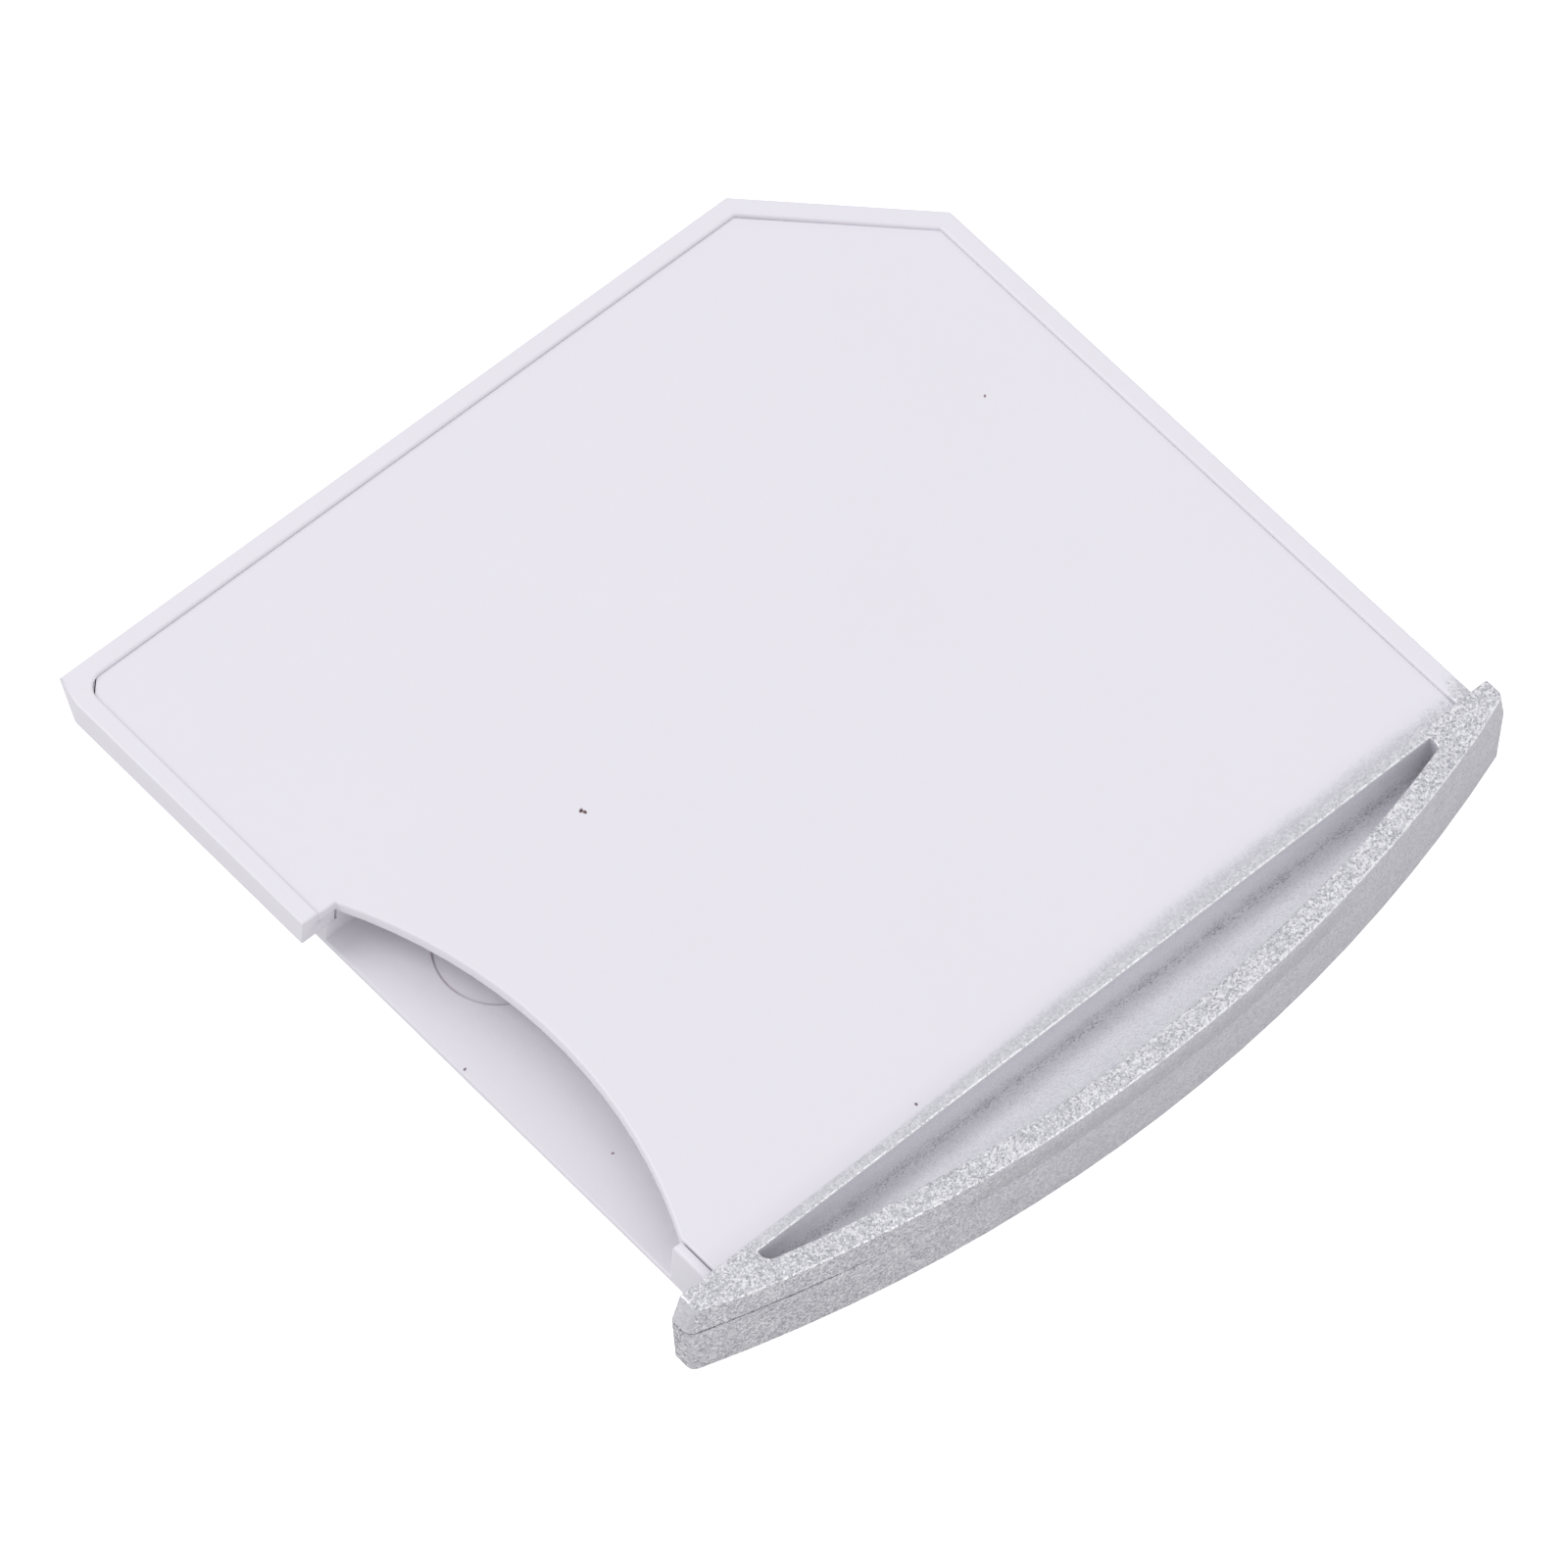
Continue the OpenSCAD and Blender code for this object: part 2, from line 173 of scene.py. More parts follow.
class LipLook(bpy.types.PropertyGroup):
    """Finish of the silver pull lip"""

    top_edge: FloatProperty(
        name="Top edge", description="Rounding of the lip's upper edges, in millimetres",
        default=0.07, min=0.01, max=0.1)
    foot_edge: FloatProperty(
        name="Foot edge", description="Rounding of the lip's lower edges, in millimetres",
        default=0.07, min=0.02, max=0.2)
    draft: FloatProperty(
        name="Draft", description="How far the lip's ends lean in, in millimetres",
        default=0.2, min=0, max=0.4)
    silver: FloatVectorProperty(
        name="Silver", description="Colour of the lacquer", subtype="COLOR", size=3,
        default=(0.63, 0.623, 0.665), min=0, max=1)
    # Pocket: the lighter colour that the pocket's lacquer is mixed towards with depth, a painted
    # light
    pocket: FloatVectorProperty(
        name="Pocket", description="Colour of the pocket's lacquer, lightened with depth as painted light", subtype="COLOR",
        size=3, default=(0.9, 0.89, 0.93), min=0, max=1)
    flake: FloatProperty(
        name="Flake size", description="Size of the metal flakes",
        default=0.05 * MM, min=0.02 * MM, max=0.5 * MM, unit="LENGTH", precision=6)
    sparkle: FloatProperty(
        name="Sparkle", description="How far the flakes tilt out of the surface",
        default=0.55, min=0, max=2)


class ContactLook(bpy.types.PropertyGroup):
    """Finish of the metal strips"""

    gold: FloatVectorProperty(
        name="Gold", description="Colour of the plated contacts", subtype="COLOR", size=3,
        default=(0.93, 0.68, 0.31), min=0, max=1)
    steel: FloatVectorProperty(
        name="Steel", description="Colour of the detent strip", subtype="COLOR", size=3,
        default=(0.56, 0.56, 0.58), min=0, max=1)
    bend: FloatProperty(
        name="Bend", description="Rounding of the strips' bends, in millimetres",
        default=0.16, min=0.02, max=0.2)


class StageLook(bpy.types.PropertyGroup):
    """Camera, lights and floor"""

    azimuth: FloatProperty(
        name="Azimuth", description="Where the camera stands round the part",
        default=math.radians(-46.4415), subtype="ANGLE")
    elevation: FloatProperty(
        name="Elevation", description="How far the camera looks down",
        default=math.radians(57.4757), subtype="ANGLE")
    roll: FloatProperty(
        name="Roll", description="How far the camera is turned about its own line of sight",
        default=math.radians(4.8397), subtype="ANGLE")
    distance: FloatProperty(
        name="Distance", description="From the camera to the point that it looks at",
        default=296.91 * MM, unit="LENGTH")
    lens: FloatProperty(
        name="Lens", description="Focal length in millimetres, on a 36 mm sensor",
        default=303.93)
    room: FloatProperty(
        name="Room light", description="Strength of the even light all round",
        default=0.8, min=0, max=4)
    key: FloatProperty(
        name="Key light", description="Power of the large lamp on the slot's side, in watts",
        default=0.74, min=0, max=20)
    glint: FloatProperty(
        name="Glint light", description="Power of the small low lamp before the lip, in watts",
        default=0.2, min=0, max=20)
    floor: FloatVectorProperty(
        name="Floor", description="Colour of the floor", subtype="COLOR", size=3,
        default=(0.5, 0.5, 0.5), min=0, max=1)


# ---------------------------------------------------------------- modelling helpers


def only(piece):
    """Selects one object and makes it the active one."""
    bpy.ops.object.select_all(action="DESELECT")
    piece.select_set(True)
    bpy.context.view_layer.objects.active = piece


def rescale(piece, factor):
    """Scales a piece's mesh about the origin."""
    only(piece)
    piece.scale = (factor,) * 3
    bpy.ops.object.transform_apply(location=False, rotation=False, scale=True)


def work_copy(node, name):
    """A merged copy of a CAD node, in millimetres, with flat faces in one piece."""
    only(frame["nodes"][node])
    bpy.ops.object.duplicate(linked=False)
    piece = bpy.context.active_object
    bpy.ops.object.parent_clear(type="CLEAR_KEEP_TRANSFORM")
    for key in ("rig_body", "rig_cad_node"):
        del piece[key]
    piece.name = piece.data.name = name
    piece.data.materials.clear()
    rescale(piece, 1 / MM)
    bpy.ops.object.mode_set(mode="EDIT")
    bpy.ops.mesh.select_mode(type="VERT")
    bpy.ops.mesh.select_all(action="SELECT")
    bpy.ops.mesh.remove_doubles(threshold=MERGE)
    bpy.ops.mesh.dissolve_limited(angle_limit=FLAT)
    bpy.ops.object.mode_set(mode="OBJECT")
    return piece


def select_points(piece, wanted):
    """In edit mode, selects the points for which wanted(place) is true."""
    mesh = bmesh.from_edit_mesh(piece.data)
    mesh.select_mode = {"VERT"}
    for v in mesh.verts:
        v.select = wanted(v.co)
    mesh.select_flush_mode()
    bmesh.update_edit_mesh(piece.data)


def round_edges(piece, width_of, segments=3, sharpest=30):
    """Rounds each sharp edge by width_of(middle, direction, length), in millimetres."""
    only(piece)
    bpy.ops.object.mode_set(mode="EDIT")
    mesh = bmesh.from_edit_mesh(piece.data)
    layer = mesh.edges.layers.float.get("bevel_weight_edge")
    layer = layer or mesh.edges.layers.float.new("bevel_weight_edge")
    widths = {}
    for edge in mesh.edges:
        a, b = (v.co for v in edge.verts)
        if edge.is_manifold and edge.calc_face_angle() > math.radians(sharpest):
            line = b - a
            widths[edge] = width_of((a + b) / 2, line.normalized(), line.length)
    widest = max(widths.values())
    for edge in mesh.edges:
        edge[layer] = widths.get(edge, 0) / widest
    bmesh.update_edit_mesh(piece.data)
    bpy.ops.object.mode_set(mode="OBJECT")
    bevel = piece.modifiers.new("Rounding", "BEVEL")
    bevel.limit_method, bevel.offset_type = "WEIGHT", "OFFSET"
    bevel.width, bevel.segments = widest, segments
    bevel.use_clamp_overlap, bevel.miter_outer = False, "MITER_ARC"
    bpy.ops.object.modifier_apply(modifier=bevel.name)
    piece.data.attributes.remove(piece.data.attributes["bevel_weight_edge"])


def settle(piece, materials, body, slot, *nodes):
    """Back to metres, smooth shading, finish, and the CAD nodes that the piece stands for."""
    rescale(piece, MM)
    bpy.ops.object.shade_smooth_by_angle(angle=SMOOTH)
    weighted = piece.modifiers.new("Flat faces", "WEIGHTED_NORMAL")
    weighted.keep_sharp, weighted.weight = True, FACE_WEIGHT
    bpy.ops.object.modifier_apply(modifier=weighted.name)
    for material in materials:
        piece.data.materials.append(material)
    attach(piece, body)
    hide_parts(*nodes)
    return piece


# ---------------------------------------------------------------- shader groups


def socket(tree, name, kind, way, default=None):
    """Adds an input or an output to a shader group."""
    made = tree.interface.new_socket(name=name, in_out=way, socket_type="NodeSocket" + kind)
    if default is not None:
        made.default_value = default


def node(tree, kind, **values):
    """A shader node with its settings."""
    made = tree.nodes.new("ShaderNode" + kind)
    for name, value in values.items():
        setattr(made, name, value)
    return made


def link(tree, start, end):
    """Joins an output to an input."""
    tree.links.new(start, end)


def feed(tree, term, end):
    """Gives an input its term, a constant or an output."""
    if isinstance(term, bpy.types.NodeSocket):
        link(tree, term, end)
    else:
        end.default_value = term


def maths(tree, operation, *terms, clamp=False):
    """A Math node. Each term is a number or an output."""
    made = node(tree, "Math", operation=operation, use_clamp=clamp)
    for term, place in zip(terms, made.inputs):
        feed(tree, term, place)
    return made.outputs[0]


def vectors(tree, operation, *terms):
    """A Vector Math node. Each term is three numbers or an output."""
    made = node(tree, "VectorMath", operation=operation)
    for term, place in zip(terms, made.inputs):
        feed(tree, term, place)
    return made.outputs["Value" if operation == "DISTANCE" else "Vector"]


def scaled(tree, vector, factor):
    """A vector or colour times a number."""
    made = node(tree, "VectorMath", operation="SCALE")
    link(tree, vector, made.inputs[0])
    feed(tree, factor, made.inputs["Scale"])
    return made.outputs["Vector"]


def split(tree, vector):
    """The three parts of a vector or colour."""
    made = node(tree, "SeparateXYZ")
    link(tree, vector, made.inputs[0])
    return made.outputs


def here(tree):
    """The point in the piece's own coordinates."""
    return node(tree, "TexCoord").outputs["Object"]


def cells(tree, where, scale):
    """The colour of a cell pattern, one for each cell."""
    made = node(tree, "TexVoronoi", feature="F1")
    link(tree, where, made.inputs["Vector"])
    link(tree, scale, made.inputs["Scale"])
    return made.outputs["Color"]


def about(tree, value, strength):
    """How far a pattern of 0..1 lies from its middle, times a strength."""
    return maths(tree, "MULTIPLY", maths(tree, "SUBTRACT", value, 0.5), strength)


def span(tree, value, low, high, to_low=0.0, to_high=1.0, smooth=True):
    """Maps value from low..high to to_low..to_high."""
    made = node(tree, "MapRange", interpolation_type="SMOOTHSTEP" if smooth else "LINEAR")
    for name, term in (("From Min", low), ("From Max", high),
                       ("To Min", to_low), ("To Max", to_high), ("Value", value)):
        feed(tree, term, made.inputs[name])
    return made.outputs[0]


def mix(tree, factor, a, b):
    """A colour mix. Each term is a colour or an output."""
    made = node(tree, "Mix", data_type="RGBA")
    for term, place in zip((factor, a, b), (made.inputs[0], made.inputs[6], made.inputs[7])):
        feed(tree, term, place)
    return made.outputs[2]


def noise(tree, where, scale, detail, rough=0.5):
    """The value of a cloudy pattern."""
    made = node(tree, "TexNoise")
    made.inputs["Scale"].default_value = scale
    made.inputs["Detail"].default_value = detail
    made.inputs["Roughness"].default_value = rough
    link(tree, where, made.inputs["Vector"])
    return made.outputs["Fac"]


def new_group(name, inputs, outputs):
    """An empty shader group with its ends: (tree, inputs' outputs, outputs' inputs)."""
    tree = bpy.data.node_groups.new(name, "ShaderNodeTree")
    for label, kind, default in inputs:
        socket(tree, label, kind, "INPUT", default)
    for label, kind in outputs:
        socket(tree, label, kind, "OUTPUT")
    start, end = tree.nodes.new("NodeGroupInput"), tree.nodes.new("NodeGroupOutput")
    return tree, start.outputs, end.inputs


def moulded_skin():
    """Even plastic with faint flow mottle and the fine matt skin of an eroded mould."""
    tree, given, made = new_group(
        "Moulded skin",
        [("Colour", "Color", (0.8, 0.8, 0.8, 1)), ("Mottle", "Float", 0.03),
         ("Sheen patch", "Float", 0.06)],
        [("Colour", "Color"), ("Roughness", "Float"), ("Height", "Float")])
    place = here(tree)
    broad, small = noise(tree, place, 170, 3), noise(tree, place, 2600, 2)
    tone = maths(tree, "ADD", about(tree, broad, given["Mottle"]),
                 about(tree, small, maths(tree, "MULTIPLY", given["Mottle"], 0.5)))
    link(tree, scaled(tree, given["Colour"], maths(tree, "ADD", tone, 1.0)), made["Colour"])
    link(tree, maths(tree, "ADD", 0.43, about(tree, broad, given["Sheen patch"])),
         made["Roughness"])
    link(tree, noise(tree, place, 14000, 2, 0.6), made["Height"])
    return tree


def lacquer_relief(tree, place, face):
    """How rough the lacquer lies: calm on the front's right side, rough at the wall's foot."""
    x, y, z = split(tree, place)
    sideways, forward, _ = split(tree, face)
    back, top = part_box("lip_upper")[1].y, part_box("lip_upper")[1].z
    wall = back - POCKET_WALL * MM
    calm = maths(tree, "MULTIPLY", span(tree, forward, -0.4, -0.8),
                 span(tree, x, -0.009, -0.001, 0.0, 0.6))
    ends = span(tree, maths(tree, "ABSOLUTE", sideways), 0.6, 0.85, 0.0, 0.7)
    calm = maths(tree, "MAXIMUM", calm, ends)
    behind = maths(tree, "MULTIPLY", span(tree, y, wall - 0.1 * MM, wall),
                   span(tree, maths(tree, "ABSOLUTE", x), 0.0098, 0.0106, 0.55, 0.0))
    relief = maths(tree, "SUBTRACT", 1.0, maths(tree, "MAXIMUM", calm, behind))
    foot = maths(tree, "MULTIPLY", span(tree, y, wall - 0.2 * MM, wall - 0.12 * MM),
                 span(tree, z, top - 1.0 * MM, top - 0.8 * MM, 1.0, 0.0))
    return maths(tree, "ADD", relief, maths(tree, "MULTIPLY", foot, 1.6))


def lacquer_and_edge_highlight():
    """Sprayed lacquer: coarse bright and dark grains, each tilted its own way, and a painted
    highlight on edges that face forward and up.
    """
    tree, given, made = new_group(
        "Flake lacquer and painted edge highlight",
        [("Colour", "Color", (0.6, 0.6, 0.62, 1)), ("Flakes per metre", "Float", 12000.0),
         ("Sparkle", "Float", 0.5), ("Contrast", "Float", 0.6)],
        [("Colour", "Color"), ("Roughness", "Float"), ("Normal", "Vector")])
    place, face = here(tree), node(tree, "NewGeometry").outputs["Normal"]
    coarse = cells(tree, place, given["Flakes per metre"])
    fine = cells(tree, place, maths(tree, "MULTIPLY", given["Flakes per metre"], 2.1))
    grain = maths(tree, "ADD", maths(tree, "MULTIPLY", split(tree, coarse)[0], 0.6),
                  maths(tree, "MULTIPLY", split(tree, fine)[0], 0.4))
    grain = maths(tree, "ADD", grain, about(tree, noise(tree, place, 1500, 2), 0.25))
    dark = span(tree, grain, 0.15, 0.42, 1.0, 0.0)
    bright = span(tree, grain, 0.55, 0.78)
    # Painted highlight: edges that face both forward and up are mixed towards white, standing in
    # for the light that they catch
    _, forward, upward = split(tree, face)
    edge_highlight_slope = maths(tree, "MULTIPLY", forward, upward)
    edge = maths(tree, "MULTIPLY", span(tree, edge_highlight_slope, -0.25, -0.42),
                 span(tree, grain, 0.35, 0.55, 0.25, 1.0))
    relief = lacquer_relief(tree, place, face)
    contrast = maths(tree, "MULTIPLY", given["Contrast"], relief)
    colour = mix(tree, maths(tree, "MULTIPLY", dark, maths(tree, "MULTIPLY", contrast, 0.6)),
                 given["Colour"], DARK_GRAIN)
    colour = mix(tree, maths(tree, "MULTIPLY", bright, contrast), colour, BRIGHT_GRAIN_AND_EDGE_HIGHLIGHT)
    colour = mix(tree, maths(tree, "MULTIPLY", edge, 0.8), colour, BRIGHT_GRAIN_AND_EDGE_HIGHLIGHT)
    link(tree, colour, made["Colour"])
    link(tree, span(tree, grain, 0.2, 0.9, 0.5, 0.26), made["Roughness"])
    tilt = vectors(tree, "ADD", scaled(tree, coarse, 0.5), scaled(tree, fine, 0.5))
    tilt = vectors(tree, "SUBTRACT", tilt, (0.5, 0.5, 0.5))
    lean = scaled(tree, tilt, maths(tree, "MULTIPLY", given["Sparkle"], relief))
    link(tree, vectors(tree, "NORMALIZE", vectors(tree, "ADD", face, lean)), made["Normal"])
    return tree


def pocket_painted_light():
    """Lacquer colour painted lighter with depth: painted light that stands in for the light
    reaching the pocket.
    """
    tree, given, made = new_group(
        "Pocket painted light",
        [("Shallow", "Color", (0.6, 0.6, 0.62, 1)), ("Deep", "Color", (0.8, 0.8, 0.82, 1)),
         ("Top", "Float", 0.0026), ("Depth", "Float", 0.0013)],
        [("Colour", "Color")])
    height = split(tree, here(tree))[2]
    deep = maths(tree, "DIVIDE", maths(tree, "SUBTRACT", given["Top"], height),
                 given["Depth"], clamp=True)
    link(tree, mix(tree, deep, given["Shallow"], given["Deep"]), made["Colour"])
    return tree


def spray_mist():
    """Mask of the silver mist that drifted past the masking edge: thin on the slot's side."""
    tree, given, made = new_group(
        "Spray mist",
        [("Edge", "Float", 0.0), ("Reach", "Float", 0.0004)],
        [("Mask", "Float")])
    place = here(tree)
    x, y, _ = split(tree, place)
    side = maths(tree, "ADD", span(tree, x, -0.0085, 0.004, 0.16, 1.0),
                 span(tree, x, 0.0113, 0.0117, 0.0, 0.9))
    reach = maths(tree, "MULTIPLY", given["Reach"], side)
    past = maths(tree, "DIVIDE", maths(tree, "SUBTRACT", y, given["Edge"]), reach)
    ragged = maths(tree, "ADD", maths(tree, "MULTIPLY", noise(tree, place, 9000, 3, 0.7), 0.9),
                   maths(tree, "MULTIPLY", noise(tree, place, 900, 2), 0.5))
    past = maths(tree, "ADD", past, maths(tree, "SUBTRACT", ragged, 0.7))
    link(tree, span(tree, past, 0.25, 1.15, 1.0, 0.0), made["Mask"])
    return tree


def dust_speck():
    """Mask of one tiny speck caught in the plastic."""
    tree, given, made = new_group(
        "Dust speck",
        [("Place", "Vector", (0, 0, 0)), ("Size", "Float", 0.00005)],
        [("Mask", "Float")])
    place = here(tree)
    wobble = node(tree, "TexNoise")
    wobble.inputs["Scale"].default_value = 9000
    link(tree, place, wobble.inputs["Vector"])
    shake = scaled(tree, vectors(tree, "SUBTRACT", wobble.outputs["Color"], (0.5, 0.5, 0.5)),
                   0.00008)
    far = vectors(tree, "DISTANCE", vectors(tree, "ADD", place, shake), given["Place"])
    link(tree, span(tree, maths(tree, "DIVIDE", far, given["Size"]), 0.5, 1.1, 1.0, 0.0),
         made["Mask"])
    return tree


def ejector_ring():
    """Mask of the fine dark line round an ejector mark."""
    tree, given, made = new_group(
        "Ejector ring",
        [("Place", "Vector", (0, 0, 0)), ("Radius", "Float", 0.00146)],
        [("Mask", "Float")])
    place = here(tree)
    away = vectors(tree, "SUBTRACT", place, given["Place"])
    far = vectors(tree, "DISTANCE", vectors(tree, "MULTIPLY", away, (1, 1, 4)), (0, 0, 0))
    off = maths(tree, "ABSOLUTE", maths(tree, "SUBTRACT", far, given["Radius"]))
    broken = span(tree, noise(tree, place, 1500, 2), 0.3, 0.6, 0.6, 1.0)
    link(tree, maths(tree, "MULTIPLY", broken, span(tree, off, 0.00001, 0.00005, 1.0, 0.0)),
         made["Mask"])
    return tree


def rolled_strip():
    """Rolled and plated metal: fine lines along the strip and slightly uneven plating."""
    tree, given, made = new_group(
        "Rolled strip",
        [("Colour", "Color", (0.9, 0.7, 0.3, 1)), ("Tarnish", "Float", 0.2)],
        [("Colour", "Color"), ("Roughness", "Float"), ("Height", "Float")])
    place = here(tree)
    stretch = node(tree, "Mapping")
    stretch.inputs["Scale"].default_value = (1, 0.06, 1)
    link(tree, place, stretch.inputs["Vector"])
    lines = noise(tree, stretch.outputs[0], 16000, 2)
    cloud = noise(tree, place, 1300, 3)
    dull = mix(tree, maths(tree, "MULTIPLY", span(tree, cloud, 0.4, 0.75), given["Tarnish"]),
               given["Colour"], TARNISH_TINT)
    link(tree, dull, made["Colour"])
    link(tree, span(tree, maths(tree, "ADD", lines, maths(tree, "MULTIPLY", cloud, 0.5)),
                    0.4, 1.1, 0.16, 0.36), made["Roughness"])
    link(tree, lines, made["Height"])
    return tree


# The shader groups made so far, by the name of the function that makes them
GROUPS = {}


def group(tree, make, **values):
    """Places a shared group in a material with its own values."""
    if make.__name__ not in GROUPS:
        GROUPS[make.__name__] = make()
    made = tree.nodes.new("ShaderNodeGroup")
    made.node_tree = GROUPS[make.__name__]
    for name, value in values.items():
        made.inputs[name.replace("_", " ")].default_value = value
    return made


def principled(name):
    """A new material: the material, its tree and its Principled BSDF."""
    material = bpy.data.materials.new(name)
    material.use_nodes = True
    return material, material.node_tree, material.node_tree.nodes["Principled BSDF"]


def bumped(tree, shader, height, distance, strength):
    """Gives a shader fine relief from a height."""
    bump = node(tree, "Bump")
    bump.inputs["Distance"].default_value = distance
    bump.inputs["Strength"].default_value = strength
    link(tree, height, bump.inputs["Height"])
    link(tree, bump.outputs[0], shader.inputs["Normal"])


def rgba(colour):
    """A colour with full alpha."""
    return (*colour[:3], 1.0)


# The materials made so far that several pieces share
MATERIALS = {}
# Which of the lacquer's outputs goes to which input
LACQUER_ENDS = (("Colour", "Base Color"), ("Roughness", "Roughness"), ("Normal", "Normal"))


def white_plastic():
    """Off-white moulding with silver mist next to the lip."""
    if "white" not in MATERIALS:
        shell, lip = bpy.context.scene.adapter_shell, bpy.context.scene.adapter_lip
        material, tree, shader = principled("White moulding")
        skin = group(tree, moulded_skin, Colour=rgba(shell.white), Mottle=shell.mottle)
        mist = group(tree, spray_mist, Edge=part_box("lip_upper")[1].y, Reach=shell.overspray)
        # The lacquer's colour here also carries its painted edge highlight
        lacquer = group(tree, lacquer_and_edge_highlight, Colour=rgba(lip.silver),
                        Flakes_per_metre=1 / lip.flake, Sparkle=0.0, Contrast=0.8)
        colour = skin.outputs["Colour"]
        for place, size, tone in SPECKS:
            speck = group(tree, dust_speck, Place=Vector(place) * MM, Size=size * MM)
            colour = mix(tree, speck.outputs[0], colour, (*tone, 1))
        ring = group(tree, ejector_ring, Place=Vector(RING_PLACE) * MM, Radius=RING_RADIUS * MM)
        colour = mix(tree, maths(tree, "MULTIPLY", ring.outputs[0], RING_SHOWN), colour,
                     RING_TINT)
        colour = mix(tree, maths(tree, "MULTIPLY", mist.outputs[0], MIST_SHOWN), colour,
                     lacquer.outputs["Colour"])
        link(tree, colour, shader.inputs["Base Color"])
        link(tree, maths(tree, "MULTIPLY", mist.outputs[0], MIST_METAL),
             shader.inputs["Metallic"])
        link(tree, skin.outputs["Roughness"], shader.inputs["Roughness"])
        bumped(tree, shader, skin.outputs["Height"], 0.004 * MM, 0.5)
        shader.inputs["IOR"].default_value = 1.46
        MATERIALS["white"] = material
    return MATERIALS["white"]


def silver_lacquer():
    """Sprayed silver with coarse flakes, on the lip's outside."""
    if "silver" not in MATERIALS:
        lip = bpy.context.scene.adapter_lip
        material, tree, shader = principled("Silver lacquer")
        lacquer = group(tree, lacquer_and_edge_highlight, Colour=rgba(lip.silver),
                        Flakes_per_metre=1 / lip.flake, Sparkle=lip.sparkle, Contrast=0.9)
        for start, end in LACQUER_ENDS:
            link(tree, lacquer.outputs[start], shader.inputs[end])
        shader.inputs["Metallic"].default_value = 0.3
        MATERIALS["silver"] = material
    return MATERIALS["silver"]


def pocket_silver_with_painted_light():
    """The pocket's finer lacquer, its colour painted lighter with depth as painted light."""
    lip = bpy.context.scene.adapter_lip
    material, tree, shader = principled("Pocket silver with painted light")
    coat = group(tree, pocket_painted_light, Shallow=rgba(lip.silver), Deep=rgba(lip.pocket),
                 Top=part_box("lip_upper")[1].z, Depth=POCKET_DEPTH * MM)
    lacquer = group(tree, lacquer_and_edge_highlight, Flakes_per_metre=1 / (FINER * lip.flake),
                    Sparkle=CALMER * lip.sparkle, Contrast=0.4)
    link(tree, coat.outputs[0], lacquer.inputs["Colour"])
    for start, end in LACQUER_ENDS:
        link(tree, lacquer.outputs[start], shader.inputs[end])
    shader.inputs["Metallic"].default_value = 0.15
    return material


def strip_metal(name, colour, tarnish):
    """Plated or bare rolled strip."""
    if name not in MATERIALS:
        material, tree, shader = principled(name)
        strip = group(tree, rolled_strip, Colour=rgba(colour), Tarnish=tarnish)
        link(tree, strip.outputs["Colour"], shader.inputs["Base Color"])
        link(tree, strip.outputs["Roughness"], shader.inputs["Roughness"])
        bumped(tree, shader, strip.outputs["Height"], 0.002 * MM, 0.6)
        shader.inputs["Metallic"].default_value = 1.0
        MATERIALS[name] = material
    return MATERIALS[name]


def dark_plastic():
    """Dark carrier that clamps the leads."""
    material, tree, shader = principled("Dark carrier")
    skin = group(tree, moulded_skin, Colour=CARRIER_TINT, Mottle=0.3)
    link(tree, skin.outputs["Colour"], shader.inputs["Base Color"])
    link(tree, skin.outputs["Roughness"], shader.inputs["Roughness"])
    bumped(tree, shader, skin.outputs["Height"], 0.006 * MM, 0.6)
    return material


# ---------------------------------------------------------------- operators


